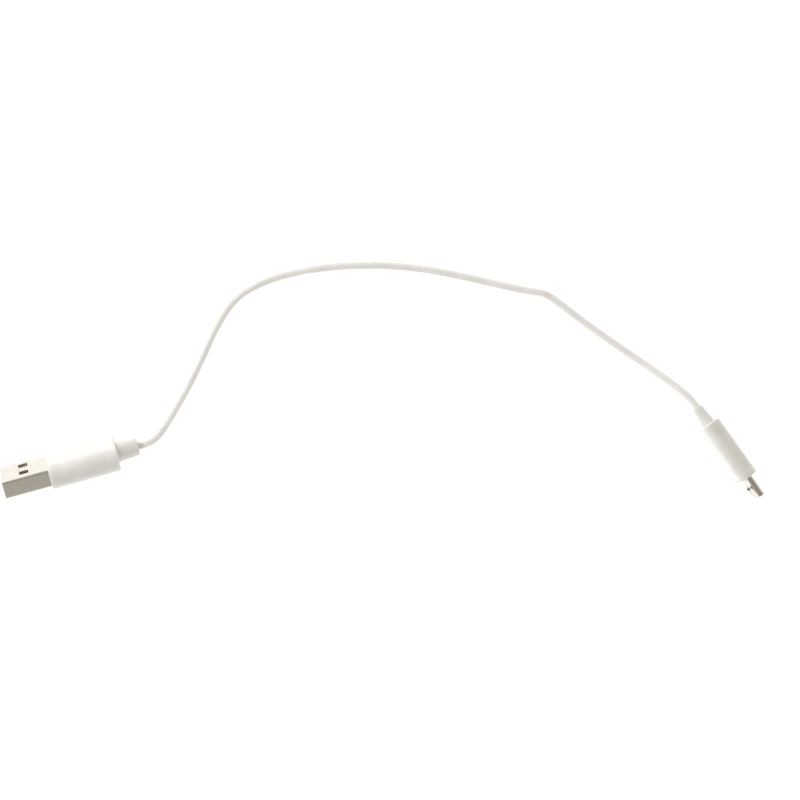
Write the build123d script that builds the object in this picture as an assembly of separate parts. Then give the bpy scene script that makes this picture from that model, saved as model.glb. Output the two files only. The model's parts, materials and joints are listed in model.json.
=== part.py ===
from build123d import *
import math
import os

# A short charging lead: a USB-A plug, a thin round cord and a micro-USB B plug.
# It lies on the plane Z = 0. Millimetres, +Z up, +X from the USB-A end to the micro-B end.
# The origin is on that plane, under the middle of the box round the two plugs.
#
# Each plug is drawn in a frame of its own: +X towards its tip, +Y across its width and
# +Z out of its wide face, with the origin in the middle of the grip's front face.
# Both plugs lie on a narrow side, so their wide faces lean up from the surface.

# ---------------------------------------------------------------- cord
CORD_D = 2.0
# Corners of the free cord's centre line, from the USB-A strain relief to the micro-B one.
CORD_ROUTE = [
    (-59.191, 1.122, 7.641),
    (-57.26, 1.65, 7.641),
    (-54.90, 3.00, 7.50),
    (-52.80, 5.70, 7.00),
    (-50.10, 10.25, 5.50),
    (-46.85, 16.10, 3.45),
    (-43.65, 22.85, 1.80),
    (-40.10, 30.90, 1.05),
    (-36.00, 37.00, 1.00),
    (-30.90, 40.45, 1.00),
    (-24.20, 42.95, 1.00),
    (-14.90, 44.85, 1.00),
    (-3.10, 45.60, 1.00),
    (8.70, 44.85, 1.00),
    (18.20, 43.10, 1.00),
    (29.40, 40.55, 1.00),
    (35.80, 39.15, 1.00),
    (40.15, 38.60, 1.00),
    (43.50, 36.25, 1.00),
    (50.20, 31.05, 1.00),
    (57.70, 25.85, 1.05),
    (64.30, 21.35, 1.45),
    (69.40, 17.75, 2.85),
    (72.95, 15.15, 4.15),
    (75.902, 12.519, 4.673),
    (77.241, 10.649, 4.673),
]
ARC_SHARE = 0.45  # of the shorter run beside a corner, taken up by its arc

# ---------------------------------------------------------------- USB-A plug
A_PLACE = (-80.98, -4.88)  # the grip's front face, seen from above
A_HEADING = 195.4  # degrees from +X to the way the tip points
A_LEAN = 19.0  # degrees that the wide face leans up

A_NOSE_LENGTH = 11.75
A_NOSE_WIDTH = 12.0
A_NOSE_THICKNESS = 4.5
A_WALL = 0.3
A_CORNER = 0.6
A_SHELL_HELD = 6.0  # length of the shell inside the grip

A_WINDOW = 2.3  # side of the square latch windows
A_WINDOW_FROM_TIP = 5.8
A_WINDOW_SPACING = 5.2
A_DIMPLE_D = 1.0
A_DIMPLE_DEPTH = 0.1
A_DIMPLE_FROM_TIP = 9.2
A_SEAM = 0.08
A_SEAM_LOCK = 1.4  # side of the square interlock across the seam

A_BLOCK_FRONT = -0.5  # front face of the block that fills the shell
A_TONGUE_THICKNESS = 1.9
A_TONGUE_SETBACK = 0.8
A_TONGUE_CORNER = 0.25
A_TONGUE_LEAD_IN = 0.4
A_CONTACT_WIDTH = 1.0
A_CONTACT_THICKNESS = 0.2
A_CONTACT_PROUD = 0.05
A_CONTACT_BEVEL = 0.1
A_CONTACT_TAIL = 1.5
# name, place across the width, distance of the front end from the tip
A_CONTACTS = [
    ("vbus", 3.5, 1.7),
    ("data_minus", 1.0, 2.7),
    ("data_plus", -1.0, 2.7),
    ("ground", -3.5, 1.7),
]

A_GRIP_LENGTH = 17.3
A_GRIP_WIDTH = 15.8
A_GRIP_THICKNESS = 6.3
A_GRIP_EDGE = 0.45
A_WIRE_STRAIGHT = 0.9  # straight out of the jacket
A_WIRE_LEVEL = 1.1  # run beside the tail before the stripped end
A_WIRE_BARE = 1.3
A_SOLDER = (1.2, 0.8, 0.75)  # length, width, height
A_MOULD_END = 13.5  # from the grip's front face to the back of the inner mould
A_CORD_END = 11.6  # from the grip's front face to the end of the jacket
A_RELIEF_LENGTH = 5.3
A_RELIEF_D = (5.2, 4.4)  # at the grip and at the free end

# ---------------------------------------------------------------- micro-B plug
B_PLACE = (89.64, -6.67)
B_HEADING = -54.4
B_LEAN = 9.0
B_CANT = 1.0  # degrees that the metal nose turns off the grip's axis

B_NOSE_LENGTH = 5.5
B_NOSE_WIDTH = 6.85
B_NOSE_THICKNESS = 1.8
B_SIDE = 1.25  # height of the upright part of a narrow side
B_CHAMFER = 0.75  # how far the slanted part comes in
B_WALL = 0.25
B_CORNER = 0.28
B_SHELL_HELD = 4.5

B_SLOT = (1.85, 4.05)  # start and end of the latch slots, from the grip
B_SLOT_WIDTH = 0.75
B_LATCH_OFFSET = 2.6  # from the middle to each latch
B_LATCH_WIDTH = 0.45
B_LATCH_THICKNESS = 0.2
B_LATCH_PIVOT = (-1.8, 0.40)  # x, z
B_LATCH_BARREL = 0.12
B_LATCH_END = 3.85
B_LATCH_ROOM = 0.6  # width of the channel that a latch swings in
B_LATCH_ROOM_Z = -0.40  # floor of that channel
B_LATCH_ROOM_BEHIND = 0.2
B_HOOK = (2.2, 2.4, 3.65)  # back of the hook, its top, and the foot of its ramp
B_HOOK_HEIGHT = 0.5  # above the shell
B_HOOK_BACK_DROP = 0.1  # how much lower its back corner is than its top

B_PITCH = 0.65
B_CONTACT_WIDTH = 0.32
B_CONTACT_THICKNESS = 0.15
B_CONTACT_Z = -0.48  # underside of the fixed strips
B_CONTACT_FRONT = 0.2
B_CONTACT_TAIL = 1.3
B_SPRING_PIVOT = (0.36, -0.405)  # x, z
B_SPRING_BARREL = 0.09
# underside of a contact spring from its pivot to its tip: x, z
B_SPRING_LINE = [(0.36, -0.48), (2.9, -0.30), (3.45, -0.14), (3.95, -0.33)]
B_CONTACTS = ["vbus", "data_minus", "data_plus", "id", "ground"]

B_BLOCK_FRONT = -0.2
B_CARRIER_FRONT = 4.6
B_CAVITY_WIDTH = 3.9
B_RAIL = 0.25
B_FLOOR_TOP = -0.30
B_COMB_SLOT = 0.44
B_COMB_END = 4.25

B_GRIP_LENGTH = 16.3
B_GRIP_WIDTH = 9.4
B_GRIP_THICKNESS = 5.0
B_GRIP_EDGE = 0.35
B_WIRE_STRAIGHT = 0.5
B_WIRE_LEVEL = 0.8
B_WIRE_BARE = 1.0
B_SOLDER = (0.95, 0.55, 0.75)
B_MOULD_END = 9.6
B_MOULD = (7.2, 2.6)  # width, thickness
B_CORD_END = 8.2
B_RELIEF_LENGTH = 5.0
B_RELIEF_D = (3.5, 2.7)

# ---------------------------------------------------------------- shared
FIT = 0.04  # clearance of a moulded part inside a metal shell
MOULD_CORNER = 0.8
RELIEF_EDGE = 0.3
WIRE_D = 0.8
CORE_D = 0.4
WIRE_PITCH = 0.9  # between the two wires where they leave the jacket
WIRE_BEND = 0.6  # radius of a wire's bends
LEAD_IN = 0.1  # bevel round the mouth of each nose
SOLDER_EDGE = 0.12
LOW_Z = (Align.CENTER, Align.CENTER, Align.MIN)


def block(x, y, z):
    """A box from three (low, high) pairs."""
    size = [high - low for low, high in (x, y, z)]
    middle = [(high + low) / 2 for low, high in (x, y, z)]
    return Pos(*middle) * Box(*size)


def prism(section, x):
    """A section drawn across the plug, run from the lower to the higher x."""
    return Pos(x[0], 0, 0) * extrude(Plane.YZ * section, x[1] - x[0])


def side_profile(points, y, width):
    """A closed outline of (x, z) points seen from the side, as thick as width about y."""
    outline = make_face(Polyline([(x, 0, z) for x, z in points], close=True))
    return Pos(0, y, 0) * extrude(outline, width / 2, both=True)


def cross_pin(x, y, z, radius, width):
    """A round pin that lies across the plug."""
    return Pos(x, y, z) * Rot(X=90) * Cylinder(radius, width)


def along(x, radius):
    """A round bar along the plug's axis."""
    return Pos(x[0], 0, 0) * Rot(Y=90) * Cylinder(radius, x[1] - x[0], align=LOW_Z)


def plug_frame(place, heading, lean, width, thickness):
    """The frame of a plug that lies on its rounded narrow side."""
    turn = math.radians(heading)
    rise = math.radians(lean)
    height = (width - thickness) / 2 * math.cos(rise) + thickness / 2
    tip = Vector(math.cos(turn), math.sin(turn), 0)
    left = Vector(-math.sin(turn), math.cos(turn), 0)
    out = left * -math.cos(rise) + Vector(0, 0, math.sin(rise))
    return Plane(origin=(*place, height), x_dir=tip, z_dir=out).location


A_FRAME = plug_frame(A_PLACE, A_HEADING, A_LEAN, A_GRIP_WIDTH, A_GRIP_THICKNESS)
B_FRAME = plug_frame(B_PLACE, B_HEADING, B_LEAN, B_GRIP_WIDTH, B_GRIP_THICKNESS)
B_TURN = Rot(Y=-B_CANT)  # from the micro-B nose's frame to its grip's
B_NOSE_FRAME = B_FRAME * B_TURN


# ---------------------------------------------------------------- pieces both plugs have
def strain_relief(grip_length, length, diameters):
    """A tapered sleeve behind the grip, rounded at its free end."""
    cone = Cone(diameters[0] / 2, diameters[1] / 2, length, align=LOW_Z)
    cone = fillet(cone.edges().sort_by(Axis.Z)[-1], RELIEF_EDGE)
    sleeve = Pos(-grip_length, 0, 0) * Rot(Y=-90) * cone
    return sleeve - along((-grip_length - length - 1, -grip_length + 1), CORD_D / 2)


def wire(corners):
    """An insulated wire along its corners, its last run stripped to the core."""
    path = FilletPolyline(*corners[:-1], radius=WIRE_BEND)
    start = Plane(origin=path @ 0, z_dir=path % 0)
    sleeve = sweep(start * Circle(WIRE_D / 2), path=path)
    bare = corners[-1][0] - corners[-2][0]
    core = Pos(*corners[-2]) * Rot(Y=90) * Cylinder(CORE_D / 2, bare, align=LOW_Z)
    return sleeve + core


def solder(x, y, z, size):
    """A rounded lump of solder that stands on a contact's tail, from its back end at x."""
    length, width, height = size
    lump = block((x, x + length), (y - width / 2, y + width / 2), (z, z + height))
    return fillet(lump.edges().group_by(Axis.Z)[-1], SOLDER_EDGE)


# ---------------------------------------------------------------- USB-A plug
def a_shell():
    """The folded steel nose, with two windows in each wide face and a seam under it."""
    ends = (-A_SHELL_HELD, A_NOSE_LENGTH)
    outside = prism(RectangleRounded(A_NOSE_WIDTH, A_NOSE_THICKNESS, A_CORNER), ends)
    outside = chamfer(outside.edges().group_by(Axis.X)[-1], LEAD_IN)
    shell = outside - a_shell_room()
    x = A_NOSE_LENGTH - A_WINDOW_FROM_TIP
    for side in (-1, 1):
        window = Box(A_WINDOW, A_WINDOW, 2 * A_NOSE_THICKNESS)
        shell -= Pos(x, side * A_WINDOW_SPACING / 2, 0) * window
    ball = (A_DIMPLE_D**2 / 4 + A_DIMPLE_DEPTH**2) / (2 * A_DIMPLE_DEPTH)
    top = A_NOSE_THICKNESS / 2
    dimple_x = A_NOSE_LENGTH - A_DIMPLE_FROM_TIP
    shell -= Pos(dimple_x, 0, top - A_DIMPLE_DEPTH + ball) * Sphere(ball)
    return shell - a_seam()


def a_shell_room():
    """The space inside the nose."""
    room = RectangleRounded(
        A_NOSE_WIDTH - 2 * A_WALL, A_NOSE_THICKNESS - 2 * A_WALL, A_CORNER - A_WALL
    )
    return prism(room, (-A_SHELL_HELD - 1, A_NOSE_LENGTH + 1))


def a_seam():
    """The narrow gap where the folded sheet meets itself, round a square interlock."""
    depth = (-A_NOSE_THICKNESS, -A_NOSE_THICKNESS / 2 + A_WALL + 0.01)
    half = A_SEAM / 2
    lock = A_SEAM_LOCK
    middle = A_NOSE_LENGTH - A_DIMPLE_FROM_TIP
    low = middle - lock / 2
    high = middle + lock / 2
    slits = block((-A_SHELL_HELD - 1, low + half), (-half, half), depth)
    slits += block((high - half, A_NOSE_LENGTH + 1), (-half, half), depth)
    slits += block((low - half, low + half), (-half, lock), depth)
    slits += block((high - half, high + half), (-half, lock), depth)
    slits += block((low - half, high + half), (lock - half, lock + half), depth)
    return slits


def a_contact(y, from_tip):
    """A flat contact from its solder tail to the front of the tongue."""
    back = -A_SHELL_HELD - A_CONTACT_TAIL
    front = A_NOSE_LENGTH - from_tip
    z = (A_CONTACT_PROUD - A_CONTACT_THICKNESS, A_CONTACT_PROUD)
    half = A_CONTACT_WIDTH / 2
    strip = block((back, front), (y - half, y + half), z)
    corner = strip.edges().group_by(Axis.X)[-1].sort_by(Axis.Z)[-1]
    return chamfer(corner, A_CONTACT_BEVEL)


def a_insulator(contacts):
    """The contact carrier: a block that fills the shell and a tongue in its lower half."""
    width = A_NOSE_WIDTH - 2 * (A_WALL + FIT)
    height = A_NOSE_THICKNESS - 2 * (A_WALL + FIT)
    section = RectangleRounded(width, height, A_CORNER - A_WALL)
    root = prism(section, (-A_SHELL_HELD, A_BLOCK_FRONT))
    front = A_NOSE_LENGTH - A_TONGUE_SETBACK
    low = -height / 2
    reach = (A_BLOCK_FRONT - 1, front)
    tongue = block(reach, (-width / 2, width / 2), (low, low + A_TONGUE_THICKNESS))
    tongue = fillet(tongue.edges().group_by(Axis.Z)[0].filter_by(Axis.X), A_TONGUE_CORNER)
    tip = tongue.edges().group_by(Axis.X)[-1].sort_by(Axis.Z)[-1]
    tongue = chamfer(tip, A_TONGUE_LEAD_IN)
    carrier = root + tongue
    for contact in contacts:
        carrier -= contact
    return carrier


def a_wire(y):
    """A wire from the jacket's end to above the tail of the contact at y."""
    start = math.copysign(WIRE_PITCH / 2, y)
    level = A_CONTACT_PROUD + WIRE_D / 2
    back = -A_SHELL_HELD - A_CONTACT_TAIL
    corners = [
        (-A_CORD_END, start, 0),
        (-A_CORD_END + A_WIRE_STRAIGHT, start, 0),
        (back - A_WIRE_LEVEL, y, level),
        (back, y, level),
        (back + A_WIRE_BARE, y, level),
    ]
    return wire(corners)


def a_solder(y, lead):
    """Solder between the stripped wire and the tail of the contact at y."""
    back = -A_SHELL_HELD - A_CONTACT_TAIL
    return solder(back, y, A_CONTACT_PROUD, A_SOLDER) - lead


def a_inner_mould_outside():
    """The outside of the plastic moulded round the soldered joints."""
    width = A_NOSE_WIDTH - 2 * A_WALL
    height = A_NOSE_THICKNESS - 2 * A_WALL
    return prism(
        RectangleRounded(width, height, MOULD_CORNER), (-A_MOULD_END, -A_SHELL_HELD)
    )


def a_overmould():
    """The grip: a bar with fully rounded sides, moulded over everything behind the nose."""
    ends = (-A_GRIP_LENGTH, 0)
    grip = prism(SlotOverall(A_GRIP_WIDTH, A_GRIP_THICKNESS), ends)
    rims = grip.edges().group_by(Axis.X)
    grip = fillet(rims[0] + rims[-1], A_GRIP_EDGE)
    held = RectangleRounded(A_NOSE_WIDTH, A_NOSE_THICKNESS, A_CORNER)
    grip -= prism(held, (-A_SHELL_HELD, 1))
    grip -= a_inner_mould_outside()
    return grip - along((-A_GRIP_LENGTH - 1, -A_MOULD_END + 1), CORD_D / 2)


def usb_a_plug():
    """Every piece of the USB-A plug, by name, in the plug's frame."""
    contacts = {name: a_contact(y, from_tip) for name, y, from_tip in A_CONTACTS}
    cord_end = along((-A_GRIP_LENGTH - A_RELIEF_LENGTH, -A_CORD_END), CORD_D / 2)
    places = {name: y for name, y, _ in A_CONTACTS}
    wires = {name: a_wire(places[name]) for name in ("vbus", "ground")}
    joints = [a_solder(places[name], wires[name]) for name in wires]
    inner = a_inner_mould_outside()
    for piece in [*contacts.values(), *wires.values(), *joints, cord_end]:
        inner -= piece
    pieces = {
        "usb_a_shell": a_shell(),
        "usb_a_insulator": a_insulator(contacts.values()),
        "usb_a_solder_joints": Compound(children=joints),
        "usb_a_inner_mould": inner,
        "usb_a_overmould": a_overmould(),
        "usb_a_strain_relief": strain_relief(A_GRIP_LENGTH, A_RELIEF_LENGTH, A_RELIEF_D),
        "usb_a_cord_end": cord_end,
    }
    pieces |= {f"usb_a_contact_{name}": solid for name, solid in contacts.items()}
    pieces |= {f"usb_a_wire_{name}": solid for name, solid in wires.items()}
    return pieces


# ---------------------------------------------------------------- micro-B plug
def b_profile(inset):
    """The nose's section: a bar with two corners cut off, drawn this far inside its outside."""
    half = B_NOSE_WIDTH / 2
    top = B_NOSE_THICKNESS / 2
    corners = [
        (-half, top),
        (half, top),
        (half, top - B_SIDE),
        (half - B_CHAMFER, -top),
        (B_CHAMFER - half, -top),
        (-half, top - B_SIDE),
    ]
    face = make_face(Polyline(corners, close=True))
    face = fillet(face.vertices(), B_CORNER)
    return offset(face, amount=-inset) if inset else face


def b_shell():
    """The steel nose, with a slot over each latch."""
    ends = (-B_SHELL_HELD, B_NOSE_LENGTH)
    shell = prism(b_profile(0), ends)
    shell = chamfer(shell.edges().group_by(Axis.X)[-1], LEAD_IN)
    shell -= prism(b_profile(B_WALL), (ends[0] - 1, ends[1] + 1))
    for side in (-1, 1):
        y = side * B_LATCH_OFFSET
        half = B_SLOT_WIDTH / 2
        shell -= block(B_SLOT, (y - half, y + half), (0, B_NOSE_THICKNESS))
    return shell


def b_latch(side):
    """A spring arm with a hook that stands out of the nose. It swings about its barrel."""
    x, z = B_LATCH_PIVOT
    y = side * B_LATCH_OFFSET
    low = z - B_LATCH_THICKNESS / 2
    high = z + B_LATCH_THICKNESS / 2
    back, top, foot = B_HOOK
    peak = B_NOSE_THICKNESS / 2 + B_HOOK_HEIGHT
    outline = [
        (x, low),
        (B_LATCH_END, low),
        (B_LATCH_END, high),
        (foot, high),
        (top, peak),
        (back, peak - B_HOOK_BACK_DROP),
        (back, high),
        (x, high),
    ]
    arm = side_profile(outline, y, B_LATCH_WIDTH)
    return arm + cross_pin(x, y, z, B_LATCH_BARREL, B_LATCH_WIDTH)


def b_contact(y):
    """The fixed part of a contact, from its solder tail to where its spring begins."""
    half = B_CONTACT_WIDTH / 2
    x = (-B_SHELL_HELD - B_CONTACT_TAIL, B_CONTACT_FRONT)
    return block(x, (y - half, y + half), (B_CONTACT_Z, B_CONTACT_Z + B_CONTACT_THICKNESS))


def b_spring(y):
    """The sprung part of a contact: a leaf with a raised touch point near its tip."""
    under = B_SPRING_LINE
    over = [(x, z + B_CONTACT_THICKNESS) for x, z in reversed(under)]
    leaf = side_profile(under + over, y, B_CONTACT_WIDTH)
    x, z = B_SPRING_PIVOT
    return leaf + cross_pin(x, y, z, B_SPRING_BARREL, B_CONTACT_WIDTH)


def b_insulator(contacts, places):
    """The contact carrier: a block at the back, and a comb with two rails in the nose."""
    root = prism(b_profile(B_WALL + FIT), (-B_SHELL_HELD, B_BLOCK_FRONT))
    low = -B_NOSE_THICKNESS / 2 + B_WALL + FIT
    inside = B_CAVITY_WIDTH / 2
    reach = (B_BLOCK_FRONT - 0.1, B_CARRIER_FRONT)
    carrier = root + block(reach, (-inside, inside), (low, B_FLOOR_TOP))
    for side in (-1, 1):
        y = sorted((side * inside, side * (inside + B_RAIL)))
        carrier += block(reach, y, (low, -low))
        middle = side * B_LATCH_OFFSET
        room = (middle - B_LATCH_ROOM / 2, middle + B_LATCH_ROOM / 2)
        back = B_LATCH_PIVOT[0] - B_LATCH_ROOM_BEHIND
        carrier -= block((back, 0), room, (B_LATCH_ROOM_Z, B_NOSE_THICKNESS))
    for y in places:
        gap = (y - B_COMB_SLOT / 2, y + B_COMB_SLOT / 2)
        carrier -= block((B_CONTACT_FRONT, B_COMB_END), gap, (low - 1, B_FLOOR_TOP + 1))
    for contact in contacts:
        carrier -= contact
    return carrier


def b_wire(y, start):
    """A wire from the jacket's end to above the tail of the contact at y."""
    level = B_CONTACT_Z + B_CONTACT_THICKNESS + WIRE_D / 2
    back = -B_SHELL_HELD - B_CONTACT_TAIL
    corners = [
        tuple(start),
        (start.X + B_WIRE_STRAIGHT, start.Y, start.Z),
        (back - B_WIRE_LEVEL, y, level),
        (back, y, level),
        (back + B_WIRE_BARE, y, level),
    ]
    return wire(corners)


def b_solder(y, lead):
    """Solder between the stripped wire and the tail of the contact at y."""
    back = -B_SHELL_HELD - B_CONTACT_TAIL
    return solder(back, y, B_CONTACT_Z + B_CONTACT_THICKNESS, B_SOLDER) - lead


def b_inner_mould_outside():
    """The outside of the plastic moulded round the soldered joints, in the nose's frame."""
    return prism(RectangleRounded(*B_MOULD, MOULD_CORNER), (-B_MOULD_END, -B_SHELL_HELD))


def b_overmould():
    """The grip. Its front face is square to the nose."""
    grip = prism(SlotOverall(B_GRIP_WIDTH, B_GRIP_THICKNESS), (-B_GRIP_LENGTH, 2))
    beyond = (-B_GRIP_WIDTH, B_GRIP_WIDTH)
    grip -= B_TURN * block((0, B_GRIP_WIDTH), beyond, beyond)
    rims = grip.edges().group_by(Axis.X)
    front = grip.faces().sort_by(Axis.X)[-1].edges()
    grip = fillet(rims[0] + front, B_GRIP_EDGE)
    grip -= B_TURN * prism(b_profile(0), (-B_SHELL_HELD, 1))
    grip -= B_TURN * b_inner_mould_outside()
    return grip - along((-B_GRIP_LENGTH - 1, -B_MOULD_END + 1.5), CORD_D / 2)


def micro_b_plug():
    """Every piece of the micro-B plug, by name: those in the grip's frame, then the nose's."""
    middle = (len(B_CONTACTS) - 1) / 2
    places = {name: (middle - n) * B_PITCH for n, name in enumerate(B_CONTACTS)}
    contacts = {name: b_contact(y) for name, y in places.items()}
    cord_end = along((-B_GRIP_LENGTH - B_RELIEF_LENGTH, -B_CORD_END), CORD_D / 2)
    to_nose = B_TURN.inverse()
    wires = {}
    for name, side in (("vbus", 1), ("ground", -1)):
        start = to_nose * Pos(-B_CORD_END, side * WIRE_PITCH / 2, 0)
        wires[name] = b_wire(places[name], start.position)
    wires = {name: lead - to_nose * cord_end for name, lead in wires.items()}
    joints = [b_solder(places[name], wires[name]) for name in wires]
    inner = b_inner_mould_outside()
    for piece in [*contacts.values(), *wires.values(), *joints, to_nose * cord_end]:
        inner -= piece
    in_grip = {
        "micro_b_overmould": b_overmould(),
        "micro_b_strain_relief": strain_relief(B_GRIP_LENGTH, B_RELIEF_LENGTH, B_RELIEF_D),
        "micro_b_cord_end": cord_end,
    }
    in_nose = {
        "micro_b_shell": b_shell(),
        "micro_b_insulator": b_insulator(contacts.values(), places.values()),
        "micro_b_latch_left": b_latch(1),
        "micro_b_latch_right": b_latch(-1),
        "micro_b_solder_joints": Compound(children=joints),
        "micro_b_inner_mould": inner,
    }
    in_nose |= {f"micro_b_contact_{name}": solid for name, solid in contacts.items()}
    in_nose |= {f"micro_b_spring_{name}": b_spring(y) for name, y in places.items()}
    in_nose |= {f"micro_b_wire_{name}": solid for name, solid in wires.items()}
    return in_grip, in_nose


# ---------------------------------------------------------------- cord
def corner_radii(route):
    """The radius of the arc at each corner: as large as its two runs allow."""
    points = [Vector(*p) for p in route]
    radii = []
    for before, here, after in zip(points, points[1:], points[2:]):
        turn = math.radians((here - before).get_angle(after - here))
        run = min((here - before).length, (after - here).length)
        radii.append(ARC_SHARE * run / math.tan(turn / 2))
    return radii


def cord_tube():
    """The free cord, from one strain relief to the other."""
    radii = corner_radii(CORD_ROUTE)
    path = FilletPolyline(*CORD_ROUTE, radius=radii)
    start = Plane(origin=path @ 0, z_dir=path % 0)
    tube = sweep(start * Circle(CORD_D / 2), path=path)
    expected = math.pi * CORD_D**2 / 4 * path.length
    print("corner radii", [round(r, 1) for r in radii])
    print(f"free cord {path.length:.1f} mm long, volume {tube.volume:.1f} of {expected:.1f}")
    return tube


def build():
    """Every piece of the lead in its place, by node name."""
    nodes = {name: A_FRAME * solid for name, solid in usb_a_plug().items()}
    in_grip, in_nose = micro_b_plug()
    nodes |= {name: B_FRAME * solid for name, solid in in_grip.items()}
    nodes |= {name: B_NOSE_FRAME * solid for name, solid in in_nose.items()}
    nodes["cord_jacket"] = cord_tube()
    return nodes


os.makedirs("parts", exist_ok=True)
for node, solid in build().items():
    solid.label = node
    export_step(solid, f"parts/{node}.step")
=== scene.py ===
import json
import math

import bmesh
import bpy
from mathutils import Matrix, Vector


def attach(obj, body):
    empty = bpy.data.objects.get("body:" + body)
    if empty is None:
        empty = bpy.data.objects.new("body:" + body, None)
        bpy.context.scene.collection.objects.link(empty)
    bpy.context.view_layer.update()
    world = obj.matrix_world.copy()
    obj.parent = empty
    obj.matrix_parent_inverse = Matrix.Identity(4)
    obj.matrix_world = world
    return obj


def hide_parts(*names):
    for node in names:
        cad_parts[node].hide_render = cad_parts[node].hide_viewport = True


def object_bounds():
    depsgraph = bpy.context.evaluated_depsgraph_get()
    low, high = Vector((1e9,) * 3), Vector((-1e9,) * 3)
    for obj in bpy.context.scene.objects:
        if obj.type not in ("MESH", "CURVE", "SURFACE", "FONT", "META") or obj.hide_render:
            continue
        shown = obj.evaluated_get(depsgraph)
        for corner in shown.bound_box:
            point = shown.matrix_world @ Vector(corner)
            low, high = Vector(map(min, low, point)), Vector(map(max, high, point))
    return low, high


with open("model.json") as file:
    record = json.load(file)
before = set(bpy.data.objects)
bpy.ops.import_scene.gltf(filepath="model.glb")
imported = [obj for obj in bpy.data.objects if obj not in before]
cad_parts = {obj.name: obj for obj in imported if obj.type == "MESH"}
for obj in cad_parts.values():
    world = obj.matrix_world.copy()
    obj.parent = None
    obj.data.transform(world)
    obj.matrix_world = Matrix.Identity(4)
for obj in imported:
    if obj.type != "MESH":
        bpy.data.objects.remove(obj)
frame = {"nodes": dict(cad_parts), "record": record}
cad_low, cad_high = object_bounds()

# The looks of a short white charging lead. Metres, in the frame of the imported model:
# +Z up from the surface that it lies on, +X from the USB-A plug to the micro-B plug.

MM = 0.001

# ---------------------------------------------------------------- cord
CORD_D = 0.002
CORD_ROUTE = [
    (-0.059191, 0.001122, 0.007641),
    (-0.05726, 0.00165, 0.00764),
    (-0.05490, 0.00300, 0.00750),
    (-0.05280, 0.00570, 0.00700),
    (-0.05010, 0.01025, 0.00550),
    (-0.04685, 0.01610, 0.00345),
    (-0.04365, 0.02285, 0.00180),
    (-0.04010, 0.03090, 0.00105),
    (-0.03600, 0.03700, 0.00100),
    (-0.03090, 0.04045, 0.00100),
    (-0.02420, 0.04295, 0.00100),
    (-0.01490, 0.04485, 0.00100),
    (-0.00310, 0.04560, 0.00100),
    (0.00870, 0.04485, 0.00100),
    (0.01820, 0.04310, 0.00100),
    (0.02940, 0.04055, 0.00100),
    (0.03580, 0.03915, 0.00100),
    (0.04015, 0.03860, 0.00100),
    (0.04350, 0.03625, 0.00100),
    (0.05020, 0.03105, 0.00100),
    (0.05770, 0.02585, 0.00105),
    (0.06430, 0.02135, 0.00145),
    (0.06940, 0.01775, 0.00285),
    (0.07295, 0.01515, 0.00415),
    (0.075902, 0.012519, 0.004673),
    (0.077241, 0.010649, 0.004673),
]

# ---------------------------------------------------------------- grips and strain reliefs
RING = 160  # points round a grip
ROUND = 48  # points round a strain relief
EDGE_STEPS = 6  # along a rounded edge
BODY_STEPS = 12  # along a grip between its edges
RIDGE = 0.03 * MM  # height of the parting line
SINK = 0.05 * MM  # how far the wide faces sink in
FLARE = 0.1 * MM  # at the root of a strain relief
RELIEF_EDGE = 0.3 * MM  # rounding of a strain relief's free end
MOULD_CORNER = 0.8 * MM
HOLE_END = 1.0 * MM  # from the back of the inner mould to where the cord's hole widens
NOSE_GAP = 0.02 * MM  # between a nose and the hole in its grip
A_NOSE_CORNER = 0.6 * MM
B_NOSE_SIDE = 1.25 * MM  # upright part of the micro-B nose's narrow sides
B_NOSE_CHAMFER = 0.75 * MM  # how far its slanted corners come in
A_EDGES = (0.45 * MM, 0.5 * MM)  # rounding at the front and the back of the grip
B_EDGES = (0.7 * MM, 0.4 * MM)

# ---------------------------------------------------------------- metal noses
SHARP_ANGLE = 35  # degrees; a sharper edge isn't smoothed
FLAT_ANGLE = 1  # degrees; faces flatter to each other than this are joined
EASED_ANGLE = 40  # degrees; a sharper edge is eased
A_EASE = 0.04 * MM
B_EASE = 0.03 * MM

# ---------------------------------------------------------------- camera and floor
CAMERA_ABOVE = 2.178
CAMERA_LENS = 400
VIEW_CENTRE = (0.0047, 0.0124)
FLOOR_SIZE = 6.0
FLOOR_WHITE = (0.62, 0.62, 0.62, 1)
FLOOR_GLOW = 0.9  # keeps the floor white in the shadows

# ---------------------------------------------------------------- light
KEY_PLACE = (-1.3, 0.75, 0.85)
KEY_SIZE = (1.0, 1.0)
KEY_POWER = 13
KEY_COLOUR = (1.0, 0.98, 0.95)
# how high above the horizon, from 0 to 1, and the sky's colour there
SKY = [
    (0.0, (0.76, 0.76, 0.77, 1)),
    (0.6, (0.79, 0.78, 0.78, 1)),
    (0.8, (0.57, 0.545, 0.52, 1)),
    (1.0, (0.37, 0.35, 0.32, 1)),
]

# ---------------------------------------------------------------- marks and painted shade
# the centre, radius, strength and colour of each mark: stains, and on the micro-B grip a band of
# painted shade
GRIP_STAINS_AND_SHADE = [
    ((-0.0671, -0.0027, 0.0152), 1.3 * MM, 0.25, (0.50, 0.47, 0.41)),
    ((0.0898, -0.0033, 0.0088), 0.6 * MM, 0.7, (0.35, 0.32, 0.26)),
    # painted shade: three overlapping dull yellow spots darken the micro-B grip's top along its side
    # away from the key light
    ((0.0895, -0.0030, 0.0087), 4.5 * MM, 0.45, (0.62, 0.60, 0.50)),
    ((0.0866, 0.0011, 0.0087), 4.5 * MM, 0.45, (0.62, 0.60, 0.50)),
    ((0.0837, 0.0051, 0.0087), 4.5 * MM, 0.45, (0.62, 0.60, 0.50)),
]
CORD_MARKS = [
    ((-0.0584, 0.0013, 0.0086), 1.1 * MM, 0.8, (0.56, 0.44, 0.24)),
    ((0.0410, 0.0382, 0.0020), 1.8 * MM, 0.6, (0.70, 0.62, 0.44)),
]

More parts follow.
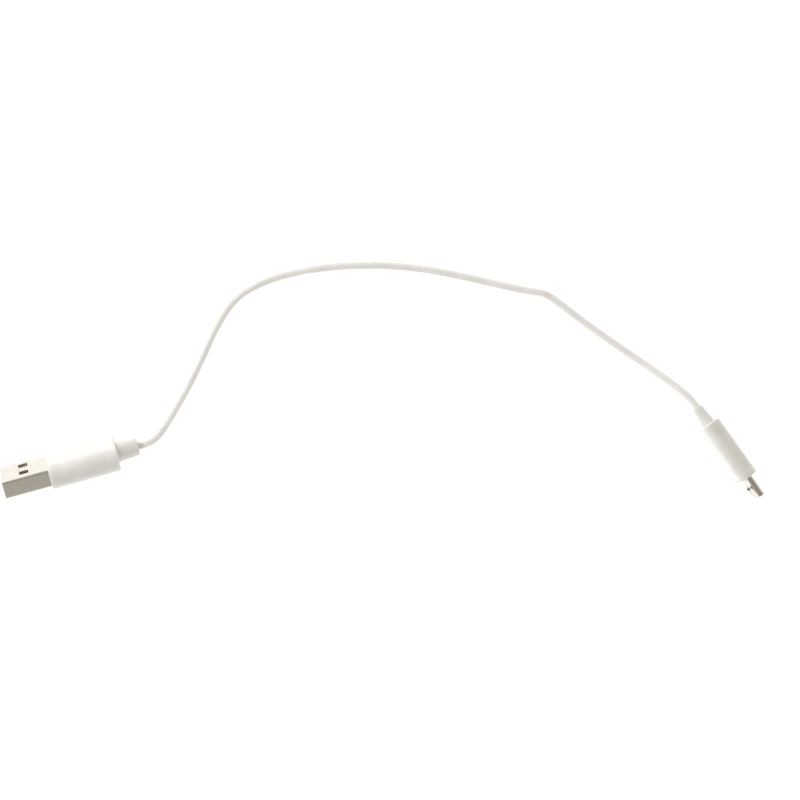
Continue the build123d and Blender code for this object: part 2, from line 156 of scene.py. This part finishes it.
LEAD = "lead"
MOUNTS = {mount["name"]: mount for mount in frame["record"]["mounts"]}
SLOTS = {row["node"]: row["material_slot"] for row in frame["record"]["subparts"]}


# ---------------------------------------------------------------- places from the frame
def axes_matrix(origin, x, y, z):
    """The matrix whose axes are x, y and z at origin."""
    return Matrix.Translation(origin) @ Matrix((x, y, z)).transposed().to_4x4()


def plug_frames(plug):
    """The frames of a plug's nose and grip: +X towards the tip, +Z out of the wide face."""
    ahead = Vector(MOUNTS[f"{plug}_plug"]["axis"])
    tip = Vector(MOUNTS[f"{plug}_plug"]["pos_m"])
    stop = Vector(MOUNTS[f"{plug}_stop_face"]["pos_m"])
    out = Vector(MOUNTS[f"{plug}_grip_flat"]["axis"])
    origin = tip + ahead * (stop - tip).dot(ahead)
    across = out.cross(ahead).normalized()
    nose = axes_matrix(origin, ahead, across, ahead.cross(across))
    grip = axes_matrix(origin, across.cross(out), across, out)
    return nose, grip


def extent(node, matrix):
    """The lowest and highest corners of a CAD node in the frame of matrix."""
    inverse = matrix.inverted()
    points = [inverse @ vertex.co for vertex in frame["nodes"][node].data.vertices]
    low = Vector(min(p[i] for p in points) for i in range(3))
    high = Vector(max(p[i] for p in points) for i in range(3))
    return low, high


# ---------------------------------------------------------------- mesh helpers
def quarter_point(s, flat_y, flat_z, radius):
    """The point s along a quarter of a rounded rectangle, from the middle of its +Y side."""
    if s < flat_z:
        return flat_y + radius, s
    s -= flat_z
    arc = math.pi / 2 * radius
    if s < arc:
        turn = s / radius
        return flat_y + radius * math.cos(turn), flat_z + radius * math.sin(turn)
    return flat_y + arc - s, flat_z + radius


def outline(width, height, radius, count):
    """Points (y, z) spaced evenly round a rounded rectangle, from the middle of its +Y side."""
    flat_y = width / 2 - radius
    flat_z = height / 2 - radius
    quarter = flat_z + math.pi / 2 * radius + flat_y
    points = []
    for n in range(count):
        side, part = divmod(4 * n / count, 1)
        share = part if side in (0, 2) else 1 - part
        y, z = quarter_point(share * quarter, flat_y, flat_z, radius)
        points.append((-y if side in (1, 2) else y, -z if side in (2, 3) else z))
    return points


def polygon(corners, count):
    """Points (y, z) spaced evenly round a polygon, from its first corner."""
    corners = [Vector(corner) for corner in corners]
    following = corners[1:] + corners[:1]
    total = sum((end - start).length for start, end in zip(corners, following))
    points = []
    for n in range(count):
        left = total * n / count
        for start, end in zip(corners, following):
            run = (end - start).length
            if left <= run:
                points.append(tuple(start.lerp(end, left / run)))
                break
            left -= run
    return points


def micro_b_outline(width, height):
    """Points round the micro-B nose, whose lower corners are cut off."""
    y = width / 2
    z = height / 2
    corners = [
        (y, 0),
        (y, z),
        (-y, z),
        (-y, z - B_NOSE_SIDE),
        (B_NOSE_CHAMFER - y, -z),
        (y - B_NOSE_CHAMFER, -z),
        (y, z - B_NOSE_SIDE),
    ]
    return polygon(corners, RING)


def across_at(matrix, x, points):
    """Points (y, z) across a plug at x, as places in the row frame."""
    return [matrix @ Vector((x, y, z)) for y, z in points]


def loft(name, rings):
    """A closed mesh through rings of equally many points, the last ring joined to the first."""
    mesh = bmesh.new()
    rows = [[mesh.verts.new(place) for place in ring] for ring in rings]
    for row, following in zip(rows, rows[1:] + rows[:1]):
        for n in range(len(row)):
            m = (n + 1) % len(row)
            mesh.faces.new((row[n], row[m], following[m], following[n]))
    bmesh.ops.recalc_face_normals(mesh, faces=mesh.faces)
    return mesh_object(name, mesh)


def mesh_object(name, mesh):
    """An object with this mesh, smooth apart from its sharp edges."""
    data = bpy.data.meshes.new(name)
    mesh.to_mesh(data)
    mesh.free()
    data.shade_smooth()
    data.set_sharp_from_angle(angle=math.radians(SHARP_ANGLE))
    made = bpy.data.objects.new(name, data)
    bpy.context.scene.collection.objects.link(made)
    return made


def dress(piece, material):
    """Gives a new piece its material and hangs it under the lead's body."""
    piece.data.materials.clear()
    piece.data.materials.append(material)
    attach(piece, LEAD)
    return piece


# ---------------------------------------------------------------- grips and strain reliefs
def edge_steps(edge):
    """(how far back, how far in) along a rounded edge, from the end face to the side."""
    steps = []
    for n in range(EDGE_STEPS + 1):
        turn = math.pi / 2 * n / EDGE_STEPS
        steps.append((edge * (1 - math.cos(turn)), edge * (1 - math.sin(turn))))
    return steps


def grip_ring(width, thickness, inset, sink):
    """A grip's section, with the parting line on its narrow sides and its wide faces sunk."""
    radius = thickness / 2 - inset
    points = outline(width - 2 * inset, thickness - 2 * inset, radius, RING)
    flat = width / 2 - thickness / 2
    ring = []
    for n, (y, z) in enumerate(points):
        if n % (RING // 2) == 0:
            y += math.copysign(RIDGE, y)
        if abs(y) < flat:
            z -= math.copysign(sink * (1 - (y / flat) ** 2), z)
        ring.append((y, z))
    return ring


def grip(plug, frames, nose_outline, edges, material):
    """A plug's grip: a bar with rounded sides, hollow round the nose and the inner mould."""
    nose, body = frames
    low, high = extent(f"{plug}_overmould", body)
    mould_low, mould_high = extent(f"{plug}_inner_mould", nose)
    shell_low, _ = extent(f"{plug}_shell", nose)
    width = high.y - low.y
    thickness = high.z - low.z
    back = low.x
    slope = (nose.inverted() @ body).to_3x3().row[0]
    slant = slope.z / slope.x

    def side(x, inset, sink=0.0, square_to_nose=0.0):
        places = []
        for y, z in grip_ring(width, thickness, inset, sink):
            places.append(body @ Vector((x - slant * z * square_to_nose, y, z)))
        return places

    front_edge, back_edge = edges
    rings = [across_at(nose, shell_low.x, nose_outline), across_at(nose, 0, nose_outline)]
    for behind, inset in edge_steps(front_edge):
        rings.append(side(-behind, inset, 0.0, 1.0))
    run = back + back_edge + front_edge
    for n in range(1, BODY_STEPS):
        share = n / BODY_STEPS
        rings.append(side(run * share - front_edge, 0, SINK * math.sin(math.pi * share), 1 - share))
    for behind, inset in reversed(edge_steps(back_edge)):
        rings.append(side(back + behind, inset))
    hole = outline(CORD_D, CORD_D, CORD_D / 2, RING)
    mould_size = mould_high - mould_low
    mould = outline(mould_size.y, mould_size.z, MOULD_CORNER, RING)
    rings.append(across_at(body, back, hole))
    rings.append(across_at(body, mould_low.x + HOLE_END, hole))
    rings.append(across_at(nose, mould_low.x, mould))
    rings.append(across_at(nose, shell_low.x, mould))
    piece = loft(f"{plug}_grip", rings)
    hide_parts(f"{plug}_overmould")
    return dress(piece, material)


def strain_relief(plug, body, material):
    """A tapered sleeve that flares into the grip and is rounded at its free end."""
    low, high = extent(f"{plug}_strain_relief", body)
    root = (high.z - low.z) / 2
    start = high.x
    end = low.x
    tip = tip_radius(plug, body, end)
    profile = [(start, CORD_D / 2)]
    for n in range(EDGE_STEPS + 1):
        turn = math.pi / 2 * n / EDGE_STEPS
        x = start - FLARE * (1 - math.cos(turn))
        profile.append((x, root + FLARE * (1 - math.sin(turn))))
    for behind, inset in reversed(edge_steps(RELIEF_EDGE)):
        profile.append((end + behind, tip - inset))
    profile.append((end, CORD_D / 2))
    rings = []
    for x, radius in profile:
        rings.append(across_at(body, x, outline(2 * radius, 2 * radius, radius, ROUND)))
    piece = loft(f"{plug}_relief", rings)
    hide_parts(f"{plug}_strain_relief")
    return dress(piece, material)


def tip_radius(plug, body, end):
    """The radius of a strain relief's taper, carried on to its free end."""
    inverse = body.inverted()
    points = [inverse @ v.co for v in frame["nodes"][f"{plug}_strain_relief"].data.vertices]
    near = [p for p in points if p.x < end + 1.5 * RELIEF_EDGE]
    return max(math.hypot(p.y, p.z) for p in near)


# ---------------------------------------------------------------- cord
def cord(material):
    """The free cord, a smooth line through its route."""
    curve = bpy.data.curves.new("charging_cord", "CURVE")
    curve.dimensions = "3D"
    curve.resolution_u = 16
    curve.bevel_depth = CORD_D / 2
    curve.bevel_resolution = 8
    curve.use_fill_caps = True
    spline = curve.splines.new("NURBS")
    spline.points.add(len(CORD_ROUTE) - 1)
    for point, place in zip(spline.points, CORD_ROUTE):
        point.co = (*place, 1)
    spline.order_u = 3
    spline.use_endpoint_u = True
    piece = bpy.data.objects.new("charging_cord", curve)
    bpy.context.scene.collection.objects.link(piece)
    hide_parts("cord_jacket")
    return dress(piece, material)


# ---------------------------------------------------------------- materials
def add(tree, kind, inputs=(), **settings):
    """A new node with these settings, and with a value or a link on each named input."""
    made = tree.nodes.new(kind)
    for name, value in settings.items():
        setattr(made, name, value)
    for name, value in dict(inputs).items():
        if isinstance(value, bpy.types.NodeSocket):
            tree.links.new(value, made.inputs[name])
        else:
            made.inputs[name].default_value = value
    return made


def new_material(name):
    """An empty material's node tree and its shader."""
    material = bpy.data.materials.new(name)
    material.use_nodes = True
    tree = material.node_tree
    tree.nodes.clear()
    shader = add(tree, "ShaderNodeBsdfPrincipled")
    add(tree, "ShaderNodeOutputMaterial", {"Surface": shader.outputs[0]})
    return material, tree, shader


def object_place(tree):
    """The place on the piece, in metres in the row frame."""
    return add(tree, "ShaderNodeTexCoord").outputs["Object"]


def noise(tree, place, size, detail=3.0, roughness=0.5):
    """Noise from 0 to 1 whose lumps are about this many metres across."""
    inputs = {"Vector": place, "Scale": 1 / size, "Detail": detail, "Roughness": roughness}
    return add(tree, "ShaderNodeTexNoise", inputs).outputs["Fac"]


def spread(tree, value, low, high):
    """A 0 to 1 value carried to the range from low to high."""
    inputs = {"Value": value, "To Min": low, "To Max": high}
    return add(tree, "ShaderNodeMapRange", inputs).outputs["Result"]


def contrast(tree, value, start, end):
    """A value turned into 0 below start and 1 above end, smoothly."""
    inputs = {"Value": value, "From Min": start, "From Max": end}
    made = add(tree, "ShaderNodeMapRange", inputs, interpolation_type="SMOOTHSTEP")
    return made.outputs["Result"]


def math_node(tree, operation, first, second):
    """The result of a sum on two values."""
    made = add(tree, "ShaderNodeMath", operation=operation)
    for socket, value in zip(made.inputs, (first, second)):
        if isinstance(value, bpy.types.NodeSocket):
            tree.links.new(value, socket)
        else:
            socket.default_value = value
    return made.outputs["Value"]


def mix_colour(tree, share, first, second):
    """A mix of two colours or colour links."""
    made = add(tree, "ShaderNodeMix", data_type="RGBA")
    sockets = {"Factor": made.inputs[0], "A": made.inputs[6], "B": made.inputs[7]}
    for name, value in (("Factor", share), ("A", first), ("B", second)):
        if isinstance(value, bpy.types.NodeSocket):
            tree.links.new(value, sockets[name])
        else:
            sockets[name].default_value = value if name == "Factor" else (*value, 1)
    return made.outputs[2]


def bump(tree, height, distance, strength=1.0, under=None):
    """A bump normal from a height, over another normal if there is one."""
    inputs = {"Height": height, "Distance": distance, "Strength": strength}
    if under is not None:
        inputs["Normal"] = under
    return add(tree, "ShaderNodeBump", inputs).outputs["Normal"]


def spot(tree, place, centre, radius):
    """1 at centre, falling smoothly to 0 at radius."""
    inputs = {0: place, 1: centre}
    away = add(tree, "ShaderNodeVectorMath", inputs, operation="DISTANCE").outputs["Value"]
    return math_node(tree, "SUBTRACT", 1.0, contrast(tree, away, 0.0, radius))


def pvc(name, colour, marks=()):
    """Soft white PVC: faint clouds, a fine moulded texture, marks of dirt or yellowing, and patches
    of painted shade.
    """
    material, tree, shader = new_material(name)
    place = object_place(tree)
    clouds = contrast(tree, noise(tree, place, 4 * MM), 0.35, 0.7)
    darker = tuple(0.94 * c for c in colour)
    tint = mix_colour(tree, clouds, colour, darker)
    grime = contrast(tree, noise(tree, place, 0.9 * MM, 6.0, 0.7), 0.62, 0.78)
    tint = mix_colour(tree, math_node(tree, "MULTIPLY", grime, 0.25), tint, (0.52, 0.50, 0.45))
    ragged = noise(tree, place, 0.35 * MM, 4.0, 0.65)
    # each mark mixes its colour in over a ragged spot: stains, and on the micro-B grip, painted
    # shade
    for centre, radius, strength, stain_and_shade_colour in marks:
        share = spot(tree, place, centre, radius)
        share = math_node(tree, "MULTIPLY", share, contrast(tree, ragged, 0.3, 0.6))
        share = math_node(tree, "MULTIPLY", share, strength)
        tint = mix_colour(tree, share, tint, stain_and_shade_colour)
    tree.links.new(tint, shader.inputs["Base Color"])
    worn = noise(tree, place, 1.5 * MM, 4.0)
    tree.links.new(spread(tree, worn, 0.38, 0.56), shader.inputs["Roughness"])
    shader.inputs["Subsurface Weight"].default_value = 0.25
    shader.inputs["Subsurface Scale"].default_value = 0.5 * MM
    shader.inputs["Subsurface Radius"].default_value = (1.0, 0.9, 0.75)
    shader.inputs["IOR"].default_value = 1.5
    grain = noise(tree, place, 0.12 * MM, 2.0)
    waves = noise(tree, place, 2.5 * MM, 1.0)
    normal = bump(tree, waves, 0.02 * MM)
    normal = bump(tree, grain, 0.004 * MM, 1.0, normal)
    tree.links.new(normal, shader.inputs["Normal"])
    return material


def plug_place(tree, matrix, grain):
    """The place in a plug's frame, in units of a grain that is longer along the plug."""
    inputs = {
        "Vector": object_place(tree),
        "Location": matrix.translation,
        "Rotation": matrix.to_euler(),
        "Scale": grain,
    }
    return add(tree, "ShaderNodeMapping", inputs, vector_type="TEXTURE").outputs["Vector"]


def steel(name, matrix, colour, roughness):
    """Plated sheet steel: rolled lines along the plug, scratches from use and dull patches."""
    material, tree, shader = new_material(name)
    place = object_place(tree)
    lines = noise(tree, plug_place(tree, matrix, (6 * MM, 0.12 * MM, 0.12 * MM)), 1.0, 3.0)
    scratches = noise(tree, plug_place(tree, matrix, (9 * MM, 0.06 * MM, 0.06 * MM)), 1.0, 1.0)
    scratches = contrast(tree, scratches, 0.68, 0.76)
    patches = contrast(tree, noise(tree, place, 1.6 * MM, 5.0, 0.6), 0.42, 0.68)
    dull = tuple(0.80 * c for c in colour)
    tint = mix_colour(tree, math_node(tree, "MULTIPLY", patches, 0.4), colour, dull)
    tree.links.new(tint, shader.inputs["Base Color"])
    shader.inputs["Metallic"].default_value = 1.0
    rough = spread(tree, patches, roughness, roughness + 0.14)
    rough = math_node(tree, "ADD", rough, math_node(tree, "MULTIPLY", scratches, 0.15))
    tree.links.new(rough, shader.inputs["Roughness"])
    dents = noise(tree, place, 0.7 * MM, 3.0)
    normal = bump(tree, dents, 0.003 * MM)
    normal = bump(tree, lines, 0.0015 * MM, 1.0, normal)
    normal = bump(tree, scratches, -0.002 * MM, 1.0, normal)
    tree.links.new(normal, shader.inputs["Normal"])
    return material


def plain_metal(name, colour, roughness, lump):
    """A small metal part: slight tarnish and an uneven surface."""
    material, tree, shader = new_material(name)
    place = object_place(tree)
    tarnish = contrast(tree, noise(tree, place, lump, 4.0), 0.4, 0.7)
    tint = mix_colour(tree, tarnish, colour, tuple(0.7 * c for c in colour))
    tree.links.new(tint, shader.inputs["Base Color"])
    shader.inputs["Metallic"].default_value = 1.0
    tree.links.new(spread(tree, tarnish, roughness, roughness + 0.2), shader.inputs["Roughness"])
    normal = bump(tree, noise(tree, place, lump / 4, 2.0), 0.004 * MM)
    tree.links.new(normal, shader.inputs["Normal"])
    return material


def moulded(name, colour, roughness, lump):
    """A hard moulded plastic: a matt grain and faint flow marks."""
    material, tree, shader = new_material(name)
    place = object_place(tree)
    flow = noise(tree, place, 8 * lump, 3.0)
    tint = mix_colour(tree, flow, colour, tuple(min(1.0, 1.25 * c + 0.005) for c in colour))
    tree.links.new(tint, shader.inputs["Base Color"])
    tree.links.new(spread(tree, flow, roughness - 0.06, roughness + 0.1), shader.inputs["Roughness"])
    normal = bump(tree, noise(tree, place, lump, 2.0), 0.004 * MM)
    tree.links.new(normal, shader.inputs["Normal"])
    return material


def floor_material():
    """A white sheet, lit a little from below."""
    material, tree, shader = new_material("floor_white")
    shader.inputs["Base Color"].default_value = FLOOR_WHITE
    shader.inputs["Roughness"].default_value = 0.9
    shader.inputs["Emission Color"].default_value = (1.0, 1.0, 1.0, 1)
    shader.inputs["Emission Strength"].default_value = FLOOR_GLOW
    return material


# ---------------------------------------------------------------- metal noses
def eased(name, node, width, material):
    """A copy of a CAD node whose sharp edges are eased by this width, in place of the node."""
    mesh = bmesh.new()
    mesh.from_mesh(frame["nodes"][node].data)
    bmesh.ops.remove_doubles(mesh, verts=mesh.verts, dist=0.001 * MM)
    bmesh.ops.dissolve_limit(
        mesh, angle_limit=math.radians(FLAT_ANGLE), verts=mesh.verts, edges=mesh.edges
    )
    piece = mesh_object(name, mesh)
    bevel = piece.modifiers.new("eased_edges", "BEVEL")
    bevel.width = width
    bevel.segments = 2
    bevel.limit_method = "ANGLE"
    bevel.angle_limit = math.radians(EASED_ANGLE)
    flat = piece.modifiers.new("flat_faces", "WEIGHTED_NORMAL")
    flat.weight = 100
    flat.keep_sharp = True
    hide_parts(node)
    return dress(piece, material)


# ---------------------------------------------------------------- stage
def area_light(name, place, target, size, power, colour):
    """A softbox at place that faces target. The camera doesn't see it."""
    light = bpy.data.lights.new(name, "AREA")
    light.shape = "RECTANGLE"
    light.size, light.size_y = size
    light.energy = power
    light.color = colour
    made = bpy.data.objects.new(name, light)
    made.location = place
    made.rotation_euler = (Vector(target) - Vector(place)).to_track_quat("-Z", "Y").to_euler()
    made.visible_camera = False
    bpy.context.scene.collection.objects.link(made)


def sky():
    """Soft surroundings: pale near the horizon, dimmer and warmer overhead."""
    world = bpy.data.worlds.new("studio")
    bpy.context.scene.world = world
    world.use_nodes = True
    tree = world.node_tree
    tree.nodes.clear()
    direction = add(tree, "ShaderNodeTexCoord").outputs["Generated"]
    height = add(tree, "ShaderNodeSeparateXYZ", {"Vector": direction}).outputs["Z"]
    ramp = add(tree, "ShaderNodeValToRGB", {"Fac": height})
    stops = ramp.color_ramp.elements
    stops[0].position, stops[0].color = SKY[0]
    stops[1].position, stops[1].color = SKY[-1]
    for position, colour in SKY[1:-1]:
        stops.new(position).color = colour
    light = add(tree, "ShaderNodeBackground", {"Color": ramp.outputs["Color"], "Strength": 1.0})
    add(tree, "ShaderNodeOutputWorld", {"Surface": light.outputs["Background"]})


def floor():
    """The surface that the lead lies on."""
    mesh = bmesh.new()
    bmesh.ops.create_grid(mesh, x_segments=2, y_segments=2, size=FLOOR_SIZE / 2)
    made = mesh_object("floor", mesh)
    made.location.z = cad_low.z
    made.data.materials.append(floor_material())


def camera():
    """The camera, straight above the lead."""
    data = bpy.data.cameras.new("camera")
    data.lens = CAMERA_LENS
    made = bpy.data.objects.new("camera", data)
    made.location = (*VIEW_CENTRE, CAMERA_ABOVE)
    bpy.context.scene.collection.objects.link(made)
    bpy.context.scene.camera = made
    bpy.context.scene.view_settings.view_transform = "Standard"


# ---------------------------------------------------------------- build
def paint(node, material):
    """Gives a carried CAD node a better material."""
    shown = frame["nodes"][node]
    for held in shown.material_slots:
        held.material = material


A_NOSE, A_GRIP = plug_frames("usb_a")
B_NOSE, B_GRIP = plug_frames("micro_b")

camera()
floor()
sky()
area_light("key", KEY_PLACE, (0, 0, 0), KEY_SIZE, KEY_POWER, KEY_COLOUR)

grip_white = pvc("grip_white", (0.81, 0.80, 0.765), GRIP_STAINS_AND_SHADE)
cord_white = pvc("cord_white", (0.89, 0.88, 0.85), CORD_MARKS)
a_steel = steel("usb_a_steel", A_NOSE, (0.64, 0.61, 0.545), 0.2)
b_steel = steel("micro_b_steel", B_NOSE, (0.60, 0.56, 0.51), 0.24)

cord(cord_white)
a_low, a_high = extent("usb_a_shell", A_NOSE)
a_size = a_high - a_low
a_outline = outline(a_size.y + NOSE_GAP, a_size.z + NOSE_GAP, A_NOSE_CORNER, RING)
b_low, b_high = extent("micro_b_shell", B_NOSE)
b_size = b_high - b_low
b_outline = micro_b_outline(b_size.y + NOSE_GAP, b_size.z + NOSE_GAP)
grip("usb_a", (A_NOSE, A_GRIP), a_outline, A_EDGES, grip_white)
grip("micro_b", (B_NOSE, B_GRIP), b_outline, B_EDGES, grip_white)
strain_relief("usb_a", A_GRIP, grip_white)
strain_relief("micro_b", B_GRIP, grip_white)
eased("usb_a_nose", "usb_a_shell", A_EASE, a_steel)
eased("micro_b_nose", "micro_b_shell", B_EASE, b_steel)

FINISHES = {
    "cord_pvc": cord_white,
    "latch_steel": plain_metal("latch_steel", (0.55, 0.50, 0.45), 0.3, 0.5 * MM),
    "contact_metal": plain_metal("contact_gold", (0.86, 0.66, 0.32), 0.22, 0.4 * MM),
    "carrier_plastic": moulded("carrier_white", (0.78, 0.77, 0.73), 0.45, 0.08 * MM),
    "inner_mould_plastic": moulded("inner_mould_white", (0.78, 0.78, 0.72), 0.45, 0.15 * MM),
    "wire_red": moulded("wire_red", (0.50, 0.02, 0.02), 0.4, 0.1 * MM),
    "wire_black": moulded("wire_black", (0.015, 0.015, 0.015), 0.4, 0.1 * MM),
    "solder": plain_metal("solder", (0.62, 0.62, 0.63), 0.25, 0.3 * MM),
}
for node, slot in SLOTS.items():
    if slot in FINISHES:
        paint(node, FINISHES[slot])
